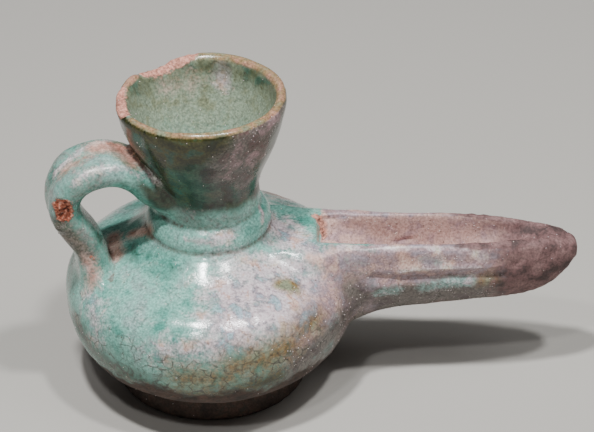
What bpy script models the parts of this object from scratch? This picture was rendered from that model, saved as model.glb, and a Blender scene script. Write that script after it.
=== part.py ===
"""Glazed oil lamp: one hollow vessel of fired clay with a cup-shaped neck, a strap handle and
a long spout whose top is an open channel. The origin is the centre of the foot's flat underside,
+Z is up and the spout points along +X."""

import math

import bmesh
import bpy
from mathutils import Matrix, Vector, noise

# Foot and body, turned about the upright axis. Radii are from that axis.
FOOT_RADIUS = 0.0316
FOOT_HEIGHT = 0.0098
FOOT_TAPER = 0.0008
FOOT_EDGE = 0.0006
BELLY_RADIUS = 0.0472
BELLY_HEIGHT = 0.0335
SHOULDER_RISE = 0.0232
BODY_WALL = 0.0045
FLOOR_THICKNESS = 0.0065

# Collar, ring and cup of the neck. Each rise is measured from the form below it.
COLLAR_RADIUS = 0.0195
COLLAR_RISE = 0.0076
RING_RADIUS = 0.0169
GROOVE_DEPTH = 0.0007
RING_RISE = 0.0036
WAIST_RADIUS = 0.0164
WAIST_RISE = 0.0030
CUP_RADIUS = 0.0272
CUP_RISE = 0.0338
LIP_WALL = 0.0040
NECK_WALL = 0.0042
NECK_LEAN_DEGREES = 1.5

# Spout. Its length is what stands out beyond the belly, and its drop is from the collar's foot.
SPOUT_LENGTH = 0.0713
SPOUT_WIDTH = 0.0238
SPOUT_DROP = 0.0032
SPOUT_DEPTH = 0.0272
SPOUT_ROOT_WIDTH = 0.0320
SPOUT_BRIM = 0.0022
CHANNEL_WIDTH = 0.0158
CHANNEL_DEPTH = 0.0180
CHANNEL_ROOF = 0.0150
CHANNEL_LIP = 0.0070

# The slanting hole for the wick: its bore, and how far it runs either side of the body's wall.
WICK_HOLE_RADIUS = 0.0044
WICK_HOLE_INWARD = 0.0080
WICK_HOLE_OUTWARD = 0.0100

# Strap handle, in an upright plane turned from -X towards -Y. It joins the neck above the
# collar's top, and its crest is measured from the waist.
HANDLE_TURN_DEGREES = 15.0
STRAP_WIDTH = 0.0208
STRAP_THICKNESS = 0.0111
STRAP_GROOVE = 0.0012
HANDLE_BOW = 0.0088
HANDLE_JOIN = 0.0080
HANDLE_CREST = 0.0130
HANDLE_FOOT_INSET = 0.0090

# Broken places: how far along and how deep the old breaks go.
RIM_NOTCH_REACH = 0.0064
RIM_NOTCH_DEPTH = 0.0032
RIM_CHIP_REACH = 0.0080
RIM_CHIP_DEPTH = 0.0018
SCAR_REACH = 0.0034
SCAR_DEPTH = 0.0012

# Fineness of the meshes.
BODY_STEPS = 56
NECK_STEPS = 48
HOLLOW_STEPS = 36
CURVE_STEPS = 7
SECTION_STEPS = 10
STRAP_STEPS = 16
MERGE_DISTANCE = 0.00005

# Heights and places that follow from the sizes above.
COLLAR_BASE = BELLY_HEIGHT + SHOULDER_RISE
COLLAR_TOP = COLLAR_BASE + COLLAR_RISE
WAIST_HEIGHT = COLLAR_TOP + RING_RISE + WAIST_RISE
RIM_HEIGHT = WAIST_HEIGHT + CUP_RISE
SPOUT_TOP = COLLAR_BASE - SPOUT_DROP
SPOUT_TIP = BELLY_RADIUS + SPOUT_LENGTH
CHANNEL_START = COLLAR_RADIUS + CHANNEL_ROOF
CHANNEL_END = SPOUT_TIP - CHANNEL_LIP


def clear_scene():
    for obj in list(bpy.data.objects):
        bpy.data.objects.remove(obj, do_unlink=True)


def new_collection(name):
    collection = bpy.data.collections.new(name)
    bpy.context.scene.collection.children.link(collection)
    return collection


def clay_material():
    material = bpy.data.materials.new("turquoise glazed clay")
    material.use_nodes = True
    shader = material.node_tree.nodes["Principled BSDF"]
    shader.inputs["Base Color"].default_value = (0.20, 0.38, 0.33, 1.0)
    shader.inputs["Roughness"].default_value = 0.45
    shader.inputs["Metallic"].default_value = 0.0
    return material


def mix(a, b, share):
    return a + (b - a) * share


def mix_point(a, b, share):
    return (mix(a[0], b[0], share), mix(a[1], b[1], share))


def curve(start, first_handle, second_handle, end, steps=CURVE_STEPS):
    """Points of a cubic Bezier curve, without its last point."""
    points = []
    for i in range(steps):
        t = i / steps
        u = 1.0 - t
        weights = (u ** 3, 3 * u * u * t, 3 * u * t * t, t ** 3)
        controls = (start, first_handle, second_handle, end)
        points.append(tuple(sum(w * c[k] for w, c in zip(weights, controls)) for k in (0, 1)))
    return points


def shoulder_curve(steps=CURVE_STEPS):
    """From the collar out and down to the belly: a low cone that turns over to the side wall."""
    span = BELLY_RADIUS - COLLAR_RADIUS
    start = (COLLAR_RADIUS, COLLAR_BASE)
    cone = (COLLAR_RADIUS + 0.22 * span, COLLAR_BASE - 0.22 * SHOULDER_RISE)
    turn = (COLLAR_RADIUS + 0.86 * span, BELLY_HEIGHT + 0.40 * SHOULDER_RISE)
    joint = mix_point(cone, turn, 0.45)
    belly = (BELLY_RADIUS, BELLY_HEIGHT)
    above_belly = (BELLY_RADIUS, BELLY_HEIGHT + 0.42 * SHOULDER_RISE)
    upper = curve(start, mix_point(start, cone, 0.7), mix_point(cone, turn, 0.1), joint, 3)
    lower = curve(joint, mix_point(cone, turn, 1.08), above_belly, belly, steps)
    return upper + lower


def underbody_curve(steps=CURVE_STEPS):
    """From the belly down and in to the top of the foot."""
    top_of_foot = (FOOT_RADIUS - FOOT_TAPER, FOOT_HEIGHT)
    drop = BELLY_HEIGHT - FOOT_HEIGHT
    span = BELLY_RADIUS - top_of_foot[0]
    return curve((BELLY_RADIUS, BELLY_HEIGHT), (BELLY_RADIUS, BELLY_HEIGHT - 0.58 * drop),
                 (top_of_foot[0] + 0.66 * span, FOOT_HEIGHT + 0.12 * drop), top_of_foot, steps)


def collar_curve(steps=4):
    """The collar's rounded face, from the groove under the ring down to the shoulder."""
    inner = RING_RADIUS - GROOVE_DEPTH
    points = []
    for i in range(steps + 1):
        angle = math.pi / 2 * (1.0 - i / steps)
        radius = mix(inner, COLLAR_RADIUS + GROOVE_DEPTH, math.cos(angle))
        points.append((radius, mix(COLLAR_BASE + GROOVE_DEPTH, COLLAR_TOP, math.sin(angle))))
    return points


def cup_curve(steps=CURVE_STEPS):
    """The cup's outer wall, from just under the lip down to the waist."""
    flare = CUP_RADIUS - WAIST_RADIUS
    return curve((CUP_RADIUS, RIM_HEIGHT - 0.5 * LIP_WALL),
                 (WAIST_RADIUS + 0.78 * flare, WAIST_HEIGHT + 0.50 * CUP_RISE),
                 (WAIST_RADIUS + 0.14 * flare, WAIST_HEIGHT + 0.27 * CUP_RISE),
                 (WAIST_RADIUS, WAIST_HEIGHT), steps + 3)


def offset_inwards(points, wall):
    """The same outline moved towards the axis side by the wall's thickness."""
    moved = []
    for i, (r, z) in enumerate(points):
        before = points[max(i - 1, 0)]
        after = points[min(i + 1, len(points) - 1)]
        along = Vector((after[0] - before[0], after[1] - before[1])).normalized()
        moved.append((r + along.y * wall, z - along.x * wall))
    return moved


def radius_at(points, height):
    """Radius of an outline, listed from the top down, at a height."""
    for (r_top, z_top), (r_low, z_low) in zip(points, points[1:]):
        if z_low <= height <= z_top:
            return mix(r_low, r_top, (height - z_low) / (z_top - z_low))
    return points[-1][0]


def height_at(points, radius):
    """Height of the shoulder's outline at a radius."""
    for (r_in, z_in), (r_out, z_out) in zip(points, points[1:]):
        if r_in <= radius <= r_out:
            return mix(z_in, z_out, (radius - r_in) / (r_out - r_in))
    return points[-1][1]


def mesh_object(name, vertices, edges, faces, collection):
    mesh = bpy.data.meshes.new(name)
    mesh.from_pydata(vertices, edges, faces)
    obj = bpy.data.objects.new(name, mesh)
    collection.objects.link(obj)
    return obj


def guide(obj):
    obj.hide_render = True
    obj.display_type = "WIRE"
    return obj


def turned(name, outline, steps, collection):
    """A solid of revolution; the outline runs down its outer side, from axis to axis."""
    vertices = [(r, 0.0, z) for r, z in outline]
    edges = [(i, i + 1) for i in range(len(outline) - 1)]
    obj = mesh_object(name, vertices, edges, [], collection)
    screw = obj.modifiers.new("turn", "SCREW")
    screw.axis = "Z"
    screw.steps = steps
    screw.render_steps = steps
    screw.use_merge_vertices = True
    screw.merge_threshold = MERGE_DISTANCE
    screw.use_smooth_shade = True
    return obj


def loft(name, rings, collection):
    """A solid between unlike sections: rings of as many points each, with closed ends."""
    count = len(rings[0])
    vertices = [point for ring in rings for point in ring]
    faces = []
    for i in range(len(rings) - 1):
        for k in range(count):
            after = (k + 1) % count
            low, high = i * count, (i + 1) * count
            faces.append((low + k, low + after, high + after, high + k))
    faces.append(tuple(reversed(range(count))))
    faces.append(tuple(range(len(vertices) - count, len(vertices))))
    obj = mesh_object(name, vertices, [], faces, collection)
    tidy_faces(obj)
    return obj


def tidy_faces(obj):
    """Three-cornered faces that all point out, shaded smooth."""
    shape = bmesh.new()
    shape.from_mesh(obj.data)
    bmesh.ops.triangulate(shape, faces=shape.faces)
    bmesh.ops.recalc_face_normals(shape, faces=shape.faces)
    shape.to_mesh(obj.data)
    shape.free()
    obj.data.shade_smooth()


def lump(name, size, place, turn, seed, collection):
    """A rough ball, for the hollow that a knocked-off flake leaves."""
    roughness = 0.22
    grain = 2.3
    shape = bmesh.new()
    bmesh.ops.create_icosphere(shape, subdivisions=2, radius=1.0)
    for vertex in shape.verts:
        swell = 1.0 + roughness * noise.noise(vertex.co * grain + Vector((seed, 0.0, 0.0)))
        vertex.co = vertex.co * swell
    shape.transform(Matrix.Translation(place) @ turn @ Matrix.Diagonal((*size, 1.0)))
    mesh = bpy.data.meshes.new(name)
    shape.to_mesh(mesh)
    shape.free()
    obj = bpy.data.objects.new(name, mesh)
    collection.objects.link(obj)
    return obj


def body_solid(collection):
    """Collar, shoulder, belly and foot, still without the hollow."""
    outline = [(0.0, COLLAR_TOP)]
    outline += collar_curve()
    outline += shoulder_curve()
    outline += underbody_curve()
    outline += [(FOOT_RADIUS - FOOT_TAPER, FOOT_HEIGHT), (FOOT_RADIUS, FOOT_EDGE)]
    outline += [(FOOT_RADIUS - FOOT_EDGE, 0.0), (0.0, 0.0)]
    return turned("oil_lamp", outline, BODY_STEPS, collection)


def body_hollow(collection):
    """The oil's room: the body's outline moved in by the wall, over a flat floor."""
    foot_inside = FOOT_RADIUS - FOOT_TAPER - BODY_WALL
    inner = offset_inwards(shoulder_curve() + underbody_curve(), BODY_WALL)
    top = COLLAR_BASE - 1.3 * BODY_WALL
    side = [(r, z) for r, z in inner if FLOOR_THICKNESS < z < top and r > 0.0]
    outline = [(0.0, side[0][1]), *side]
    outline += [(foot_inside, FOOT_HEIGHT + 0.4 * BODY_WALL)]
    outline += [(0.85 * foot_inside, FLOOR_THICKNESS), (0.0, FLOOR_THICKNESS)]
    return turned("body_hollow", outline, HOLLOW_STEPS, collection)


def lean(obj):
    """Stands a neck form on the collar, leaning a little away from the spout."""
    pivot = Matrix.Translation((0.0, 0.0, COLLAR_BASE))
    turn = Matrix.Rotation(-math.radians(NECK_LEAN_DEGREES), 4, "Y")
    obj.matrix_world = pivot @ turn @ pivot.inverted()
    return obj


def neck_solid(collection, lip_steps=4):
    """Rounded lip, cup, waist and ring, down into the collar."""
    half = 0.5 * LIP_WALL
    outline = [(0.0, RIM_HEIGHT)]
    for i in range(lip_steps):
        angle = math.pi / 2 * (1.0 - i / lip_steps)
        radius = CUP_RADIUS - half + half * math.cos(angle)
        outline.append((radius, RIM_HEIGHT - half + half * math.sin(angle)))
    outline += cup_curve()
    outline += [(WAIST_RADIUS, WAIST_HEIGHT)]
    outline += [(mix(WAIST_RADIUS, RING_RADIUS, 0.5), WAIST_HEIGHT - 0.6 * WAIST_RISE)]
    outline += [(RING_RADIUS, WAIST_HEIGHT - WAIST_RISE - 0.25 * RING_RISE)]
    outline += [(RING_RADIUS, COLLAR_TOP + 0.3 * RING_RISE)]
    outline += [(RING_RADIUS - GROOVE_DEPTH, COLLAR_TOP - 0.5 * GROOVE_DEPTH)]
    outline += [(RING_RADIUS - 2.0 * GROOVE_DEPTH, COLLAR_BASE), (0.0, COLLAR_BASE)]
    return lean(turned("neck", outline, NECK_STEPS, collection))


def neck_hollow(collection):
    """The cup's inside and the bore that runs down into the body."""
    bore = WAIST_RADIUS - NECK_WALL
    mouth = CUP_RADIUS - LIP_WALL
    wall = offset_inwards(cup_curve() + [(WAIST_RADIUS, WAIST_HEIGHT)], NECK_WALL)
    side = [(r, z) for r, z in wall if r < mouth and z < RIM_HEIGHT - LIP_WALL]
    above = RIM_HEIGHT + LIP_WALL
    soft = 0.25 * LIP_WALL
    end = COLLAR_BASE - 2.4 * BODY_WALL
    outline = [(0.0, above), (mouth + soft, above), (mouth + soft, RIM_HEIGHT), (mouth, RIM_HEIGHT - soft)]
    outline += side
    outline += [(bore, WAIST_HEIGHT - WAIST_RISE), (bore, end), (0.0, end)]
    return lean(turned("neck_hollow", outline, HOLLOW_STEPS, collection))


def half_ring(x, half_width, middle, depth, steps=SECTION_STEPS):
    """The lower half of an ellipse across the spout, from its -Y side to its +Y side."""
    points = []
    for i in range(steps + 1):
        angle = math.pi * (1.0 + i / steps)
        points.append(Vector((x, half_width * math.cos(angle), middle + depth * math.sin(angle))))
    return points


def spout_section(x, half_width, top, ridge, keel):
    """Section across the spout: a flat-topped keel with its widest line at the ridge."""
    edge = min(SPOUT_BRIM, 0.3 * half_width)
    brim = half_width - 0.25 * edge
    points = half_ring(x, half_width, ridge, ridge - keel)
    side = ((brim, edge), (brim - 0.3 * edge, 0.3 * edge), (brim - edge, 0.0))
    points += [Vector((x, y, top - drop)) for y, drop in side]
    points += [Vector((x, -y, top - drop)) for y, drop in reversed(side)]
    return points


def spout_solid(collection):
    """The spout from inside the body to its tip, still without the channel.

    Places below nought are shares of the shoulder's breadth inwards from the belly, the others
    are shares of the spout's length. Then come the width and, as shares of the spout's depth,
    how far the brim has fallen and how deep the keel lies.
    """
    stations = (
        (-1.08, SPOUT_ROOT_WIDTH, -0.03, 1.38),
        (-0.57, SPOUT_ROOT_WIDTH, -0.02, 1.36),
        (-0.23, mix(SPOUT_ROOT_WIDTH, SPOUT_WIDTH, 0.25), -0.01, 1.31),
        (0.02, mix(SPOUT_ROOT_WIDTH, SPOUT_WIDTH, 0.62), 0.0, 1.23),
        (0.10, mix(SPOUT_ROOT_WIDTH, SPOUT_WIDTH, 0.88), 0.0, 1.13),
        (0.20, SPOUT_WIDTH, 0.0, 1.06),
        (0.38, SPOUT_WIDTH, 0.0, 1.0),
        (0.54, SPOUT_WIDTH * 0.97, 0.01, 0.95),
        (0.66, SPOUT_WIDTH * 0.86, 0.02, 0.93),
        (0.76, SPOUT_WIDTH * 0.74, 0.04, 0.91),
        (0.86, SPOUT_WIDTH * 0.62, 0.06, 0.81),
        (0.93, SPOUT_WIDTH * 0.50, 0.10, 0.64),
        (0.975, SPOUT_WIDTH * 0.34, 0.15, 0.48),
        (1.0, SPOUT_WIDTH * 0.16, 0.20, 0.34),
    )
    rings = []
    for place, width, fall, depth in stations:
        reach = SPOUT_LENGTH if place > 0.0 else BELLY_RADIUS - COLLAR_RADIUS
        x = BELLY_RADIUS + place * reach
        top = SPOUT_TOP - fall * SPOUT_DEPTH
        keel = SPOUT_TOP - depth * SPOUT_DEPTH
        ridge = mix(top, keel, 0.36)
        rings.append(spout_section(x, 0.5 * width, top, ridge, keel))
    return loft("spout", rings, collection)


def channel_hollow(collection):
    """The open channel: shares of its length from root to lip, of its width and of its depth."""
    stations = (
        (0.0, 0.92, 0.33),
        (0.07, 0.96, 0.38),
        (0.16, 1.0, 0.58),
        (0.26, 1.0, 0.92),
        (0.44, 1.0, 1.0),
        (0.60, 0.96, 0.86),
        (0.74, 0.80, 0.55),
        (0.86, 0.64, 0.28),
        (0.95, 0.48, 0.11),
        (1.0, 0.36, 0.03),
    )
    draft = 0.08
    rings = []
    for place, width, depth in stations:
        x = mix(CHANNEL_START, CHANNEL_END, place)
        half = 0.5 * CHANNEL_WIDTH * width
        bend = 0.6 * CHANNEL_DEPTH * depth
        ring = half_ring(x, half, SPOUT_TOP - CHANNEL_DEPTH * depth + bend, bend)
        ring.append(Vector((x, half * (1.0 + draft), COLLAR_TOP)))
        ring.append(Vector((x, -half * (1.0 + draft), COLLAR_TOP)))
        rings.append(ring)
    return loft("channel", rings, collection)


def wick_hole(collection):
    """The slanting hole that leads from the channel's root down into the body."""
    inside = BELLY_RADIUS - BODY_WALL
    low = Vector((inside - WICK_HOLE_INWARD, 0.0, SPOUT_TOP - 1.1 * CHANNEL_DEPTH))
    high = Vector((inside + WICK_HOLE_OUTWARD, 0.0, SPOUT_TOP - 0.72 * CHANNEL_DEPTH))
    axis = high - low
    shape = bmesh.new()
    bmesh.ops.create_cone(shape, cap_ends=True, segments=14, radius1=WICK_HOLE_RADIUS,
                          radius2=WICK_HOLE_RADIUS, depth=axis.length)
    turn = axis.to_track_quat("Z", "Y").to_matrix().to_4x4()
    shape.transform(Matrix.Translation(0.5 * (low + high)) @ turn)
    mesh = bpy.data.meshes.new("wick_hole")
    shape.to_mesh(mesh)
    shape.free()
    obj = bpy.data.objects.new("wick_hole", mesh)
    collection.objects.link(obj)
    return obj


def handle_path():
    """The strap's centre line as (distance from the axis, height), from the cup to the shoulder."""
    foot = BELLY_RADIUS - HANDLE_FOOT_INSET
    foot_height = height_at(shoulder_curve(), foot)
    join = COLLAR_TOP + HANDLE_JOIN
    wall = radius_at(cup_curve() + [(WAIST_RADIUS, WAIST_HEIGHT)], join)
    crest = WAIST_HEIGHT + HANDLE_CREST
    outer = foot + HANDLE_BOW
    leg = crest - foot_height
    return (
        (wall - 0.70 * STRAP_THICKNESS, join - 0.28 * STRAP_THICKNESS),
        (wall + 0.05 * STRAP_THICKNESS, join),
        (mix(wall, foot, 0.20), mix(join, crest, 0.40)),
        (mix(wall, foot, 0.38), mix(join, crest, 0.71)),
        (mix(wall, foot, 0.60), mix(join, crest, 0.94)),
        (mix(wall, foot, 0.85), crest),
        (mix(foot, outer, 0.40), crest - 0.05 * leg),
        (mix(foot, outer, 0.86), crest - 0.17 * leg),
        (outer, crest - 0.32 * leg),
        (mix(foot, outer, 0.82), crest - 0.46 * leg),
        (mix(foot, outer, 0.42), crest - 0.61 * leg),
        (mix(foot, outer, 0.08), crest - 0.78 * leg),
        (foot, foot_height + 0.06 * STRAP_THICKNESS),
        (foot - 0.30 * STRAP_THICKNESS, foot_height - 0.35 * STRAP_THICKNESS),
    )


def smooth_path(points, per_span=2):
    """Catmull-Rom points through the path's own points."""
    path = []
    for i in range(len(points) - 1):
        before = Vector(points[max(i - 1, 0)])
        start, end = Vector(points[i]), Vector(points[i + 1])
        after = Vector(points[min(i + 2, len(points) - 1)])
        for k in range(per_span):
            t = k / per_span
            path.append(0.5 * (2 * start + (end - before) * t
                               + (2 * before - 5 * start + 4 * end - after) * t * t
                               + (3 * start - before - 3 * end + after) * t ** 3))
    path.append(Vector(points[-1]))
    return path


def handle_frame():
    """The handle's outward direction and the direction across its strap."""
    turn = math.radians(HANDLE_TURN_DEGREES)
    outward = Vector((-math.cos(turn), -math.sin(turn), 0.0))
    across = Vector((math.sin(turn), -math.cos(turn), 0.0))
    return outward, across


def strap_breadth(share):
    """Breadth along the strap, as a share: narrower down the leg, flared at both roots."""
    narrowing = 0.22 * math.sin(math.pi * min(1.0, max(0.0, (share - 0.45) / 0.5)))
    upper_flare = 0.06 * max(0.0, 1.0 - share / 0.14)
    lower_flare = 0.25 * max(0.0, (share - 0.88) / 0.12)
    return 1.0 - narrowing, upper_flare + lower_flare


def rounded(value):
    """A circle's sine or cosine, filled out towards a rounded square."""
    return math.copysign(abs(value) ** 0.75, value)


def handle_solid(collection):
    """A strap with thick rolled edges and a shallow groove along its outer face."""
    outward, across = handle_frame()
    up = Vector((0.0, 0.0, 1.0))
    path = smooth_path(handle_path())
    last = len(path) - 1
    rings = []
    for i, point in enumerate(path):
        along = (path[min(i + 1, last)] - path[max(i - 1, 0)]).normalized()
        face = Vector((-along.y, along.x))
        breadth, flare = strap_breadth(i / last)
        half_width = 0.5 * STRAP_WIDTH * (breadth + flare)
        half_thick = 0.5 * STRAP_THICKNESS * (1.0 + flare)
        ring = []
        for k in range(STRAP_STEPS):
            angle = 2.0 * math.pi * k / STRAP_STEPS
            wide = rounded(math.cos(angle))
            high = math.sin(angle)
            dent = STRAP_GROOVE * max(0.0, high) * max(0.0, 1.0 - 2.6 * wide * wide)
            place = point + face * (half_thick * rounded(high) - dent)
            ring.append(outward * place.x + up * place.y + across * (half_width * wide))
        rings.append(ring)
    return loft("handle", rings, collection)


def rim_point(azimuth, outset):
    """A point on top of the lip, by its direction in degrees from +X."""
    angle = math.radians(azimuth)
    radius = CUP_RADIUS - 0.5 * LIP_WALL + outset
    flat = Vector((radius * math.cos(angle), radius * math.sin(angle), RIM_HEIGHT - COLLAR_BASE))
    return Matrix.Rotation(-math.radians(NECK_LEAN_DEGREES), 3, "Y") @ flat + Vector((0.0, 0.0, COLLAR_BASE))


def rim_breaks(collection):
    """The stretches lost from the lip: direction, reach along it, depth and shift outwards."""
    places = (
        ("rim_notch", 125.0, RIM_NOTCH_REACH, RIM_NOTCH_DEPTH, 0.0),
        ("rim_notch_end", 136.0, 0.78 * RIM_NOTCH_REACH, 0.72 * RIM_NOTCH_DEPTH, 0.0),
        ("rim_chip_far", 174.0, 0.75 * RIM_CHIP_REACH, RIM_CHIP_DEPTH, 0.15 * LIP_WALL),
        ("rim_chip_near", 197.0, RIM_CHIP_REACH, RIM_CHIP_DEPTH, 0.10 * LIP_WALL),
    )
    breaks = []
    for seed, (name, azimuth, reach, depth, outset) in enumerate(places):
        turn = Matrix.Rotation(math.radians(azimuth), 4, "Z")
        size = (0.85 * LIP_WALL + depth, reach, depth)
        breaks.append(lump(name, size, rim_point(azimuth, outset), turn, seed + 1.5, collection))
    return breaks


def handle_scar(collection):
    """The flake lost from the near edge of the handle's bend."""
    outward, across = handle_frame()
    bend, height = max(handle_path())
    place = outward * (bend + 0.36 * STRAP_THICKNESS) + across * 0.36 * STRAP_WIDTH
    place.z = height + 0.08 * STRAP_THICKNESS
    facing = (outward + 1.1 * across).to_track_quat("Z", "Y").to_matrix().to_4x4()
    size = (0.94 * SCAR_REACH, 1.06 * SCAR_REACH, SCAR_DEPTH)
    return lump("handle_scar", size, place, facing, 7.5, collection)


def combine(obj, other, operation):
    boolean = obj.modifiers.new(f"{operation.lower()} {other.name}", "BOOLEAN")
    boolean.object = other
    boolean.operation = operation
    boolean.solver = "EXACT"


def main():
    clear_scene()
    lamp_collection = new_collection("glazed oil lamp")
    guides = new_collection("joined forms and hollows")
    lamp = body_solid(lamp_collection)
    lamp.data.materials.append(clay_material())
    for form in (neck_solid(guides), spout_solid(guides), handle_solid(guides)):
        combine(lamp, guide(form), "UNION")
    hollows = [body_hollow(guides), neck_hollow(guides), channel_hollow(guides), wick_hole(guides)]
    breaks = [*rim_breaks(guides), handle_scar(guides)]
    for hollow in hollows + breaks:
        combine(lamp, guide(hollow), "DIFFERENCE")


main()
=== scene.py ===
"""Glazed oil lamp: the fine form of its clay, its weathered turquoise glaze, the soil that clings
to it, and the stage that it is photographed on. Lengths are in metres where neither a name nor a
comment says millimetres."""

import math
from typing import NamedTuple

import bmesh
import bpy
import numpy as np
from bpy.props import FloatProperty, FloatVectorProperty, PointerProperty
from mathutils import Matrix, Vector, noise
from mathutils.bvhtree import BVHTree


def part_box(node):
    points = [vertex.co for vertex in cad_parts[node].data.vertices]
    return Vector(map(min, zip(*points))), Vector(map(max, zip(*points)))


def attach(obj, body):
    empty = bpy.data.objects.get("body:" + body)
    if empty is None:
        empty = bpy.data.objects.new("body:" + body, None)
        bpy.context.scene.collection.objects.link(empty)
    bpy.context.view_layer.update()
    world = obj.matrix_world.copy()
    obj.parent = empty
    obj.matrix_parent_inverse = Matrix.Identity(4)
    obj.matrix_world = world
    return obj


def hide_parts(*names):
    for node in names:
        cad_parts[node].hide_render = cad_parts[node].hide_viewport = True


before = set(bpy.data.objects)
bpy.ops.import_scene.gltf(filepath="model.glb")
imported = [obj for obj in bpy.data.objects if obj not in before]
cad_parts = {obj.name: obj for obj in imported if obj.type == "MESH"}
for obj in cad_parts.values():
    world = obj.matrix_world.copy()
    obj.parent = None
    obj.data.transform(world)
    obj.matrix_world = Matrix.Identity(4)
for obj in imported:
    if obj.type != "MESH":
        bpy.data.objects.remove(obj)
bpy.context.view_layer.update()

bl_info = {
    "name": "Glazed oil lamp",
    "version": (1, 0, 0),
    "blender": (4, 5, 0),
    "location": "View3D > Sidebar > Oil lamp",
    "description": "Finishes an old oil lamp of fired clay with a weathered turquoise glaze",
    "category": "Object",
}

NODE = "oil_lamp"
MM = 0.001
PHOTO_WIDTH = 594
PHOTO_HEIGHT = 432
SENSOR_MM = 36.0

# Grooves round the foot of the neck, as radius and height in millimetres, how wide soil lies in
# them, and the neck's lean as shift over height from the collar up.
GROOVES = ((16.2, 64.3), (19.6, 56.9))
GROOVE_WIDTH_MM = 0.9
SOIL_WIDTH_MM = 2.4
NECK_SHIFT = -0.026
COLLAR_HEIGHT_MM = 55.0

# Where the spout and the handle were smeared onto the body: place and reach in millimetres.
JOINTS = (
    ((36, 17, 49), (20, 9, 9)),
    ((36, -17, 49), (20, 9, 9)),
    ((49, 11, 34), (9, 9, 16)),
    ((49, -11, 34), (9, 9, 16)),
    ((51, 0, 20), (9, 14, 10)),
    ((-37, -11, 45), (9, 12, 6)),
    ((-17, -4.5, 72), (7, 12, 9)),
)

# Rounds of smoothing for the whole lamp and for its joints, how far a point goes in one round, and
# how much of the shrinking is undone.
WHOLE_ROUNDS = 14
JOINT_ROUNDS = 60
SMOOTH_SHARE = 0.5
SMOOTH_REGAIN = 0.9
WELD_DISTANCE = 1e-6

# Noises that shape the clay and the edges of its regions: size in millimetres and seed.
CLAY_NOISES = {
    "slow edge": (9, 3),
    "fine edge": (3, 8),
    "ring height": (30, 5),
    "ring strength": (20, 6),
    "dents": (22, 11),
    "small dents": (7, 12),
    "crust": (1.9, 14),
    "break": (2.6, 15),
}

# Spacing of the points along a line, in pixels or millimetres, and the cosines between which a
# place comes to count as facing the same way, or as facing out from the axis.
LINE_STEP = 2.0
SAME_WAY = (-0.15, 0.35)
OUTWARD = (-0.1, 0.3)


class Finish(NamedTuple):
    """One finish of the surface: its colours from dark to light, its gloss, how high its grain
    stands, how far blotches and grains tear its edge, and the noise that its colours follow."""
    name: str
    colours: tuple
    roughness: float
    relief_mm: float
    blotchy: float
    grainy: float
    soft: float
    tone: str = "hue"


# The finishes from the lowest to the topmost, each over the ones before it.
FINISHES = (
    # Gathered glaze, which low on the body, under the handle and on its lower leg is also painted
    # shade.
    Finish("deep_glaze_and_shade", ("green_glaze", "deep_glaze_and_shade", "turquoise"), 0.14, 0.03, 0.8, 0.4, 0.48),
    Finish("inside_wash", ("dull_wash", "inside_wash", "inside_wash"), 0.24, 0.04, 0.7, 0.5, 0.48),
    # Dark green glaze of the cup, which at the waist, under the cup, on the handle's side and low at
    # the left is painted shade.
    Finish("green_wash_and_shade", ("dark_olive", "dark_olive", "green_wash_and_shade", "moss_glaze"),
           0.16, 0.04, 0.9, 0.4, 0.48),
    Finish("silver_patina", ("blue_patina", "lilac_patina", "silver_patina", "silver_patina",
                             "rosy_patina"), 0.17, 0.05, 1.4, 0.8, 0.46),
    Finish("mauve_patina", ("lilac_patina", "mauve_patina", "rosy_patina"), 0.40, 0.16, 0.9, 0.8, 0.42),
    # Sooty glaze, which low at the front, by the spout and on the strap's lower leg is also painted
    # shade.
    Finish("grimy_glaze_and_shade", ("dark_clay", "grimy_glaze_and_shade", "grimy_glaze_and_shade"), 0.40, 0.12, 1.0, 0.8, 0.50),
    Finish("left_glaze", ("grimy_glaze_and_shade", "grey_glaze", "silver_patina"), 0.22, 0.10, 1.3, 1.0, 0.45),
    Finish("olive_glaze", ("dark_olive", "olive_glaze", "green_glaze"), 0.16, 0.04, 1.3, 0.5, 0.50),
    Finish("ochre_glaze", ("olive_glaze", "ochre_glaze", "dull_wash"), 0.30, 0.08, 1.1, 0.6, 0.60),
    Finish("rough_patina", ("sooty_clay", "grimy_glaze_and_shade", "mauve_patina"), 0.45, 0.25, 0.9, 0.6, 0.55),
    # Worn edges, whose pale mark at the end of the strap is a painted highlight.
    Finish("worn_edge_and_highlight", ("mauve_patina", "silver_patina", "lime"), 0.28, 0.05, 1.0, 1.0, 0.45),
    Finish("lip_glaze", ("dull_wash", "cream_glaze", "lip_clay"), 0.20, 0.05, 0.5, 0.5, 0.42),
    Finish("channel_clay", ("mauve_patina", "channel_clay", "channel_clay"),
           0.80, 0.10, 0.3, 0.3, 0.15),
    Finish("sooty_clay", ("dark_clay", "sooty_clay", "smoked_clay"), 0.75, 0.20, 0.9, 0.9, 0.48),
    Finish("foot_soil", ("burnt_soil", "soil"), 0.80, 0.15, 0.7, 0.6, 0.30),
    Finish("dusty_clay", ("rosy_clay", "dusty_clay", "rosy_patina"), 0.60, 0.12, 0.9, 0.6, 0.45),
    Finish("bare_clay", ("rosy_clay", "bare_clay"), 0.85, 0.20, 0.7, 0.7, 0.16, "grain"),
    Finish("fresh_break", ("burnt_clay", "fresh_break", "bare_clay"),
           0.85, 0.45, 0.3, 0.5, 0.06, "grain"),
)

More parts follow.
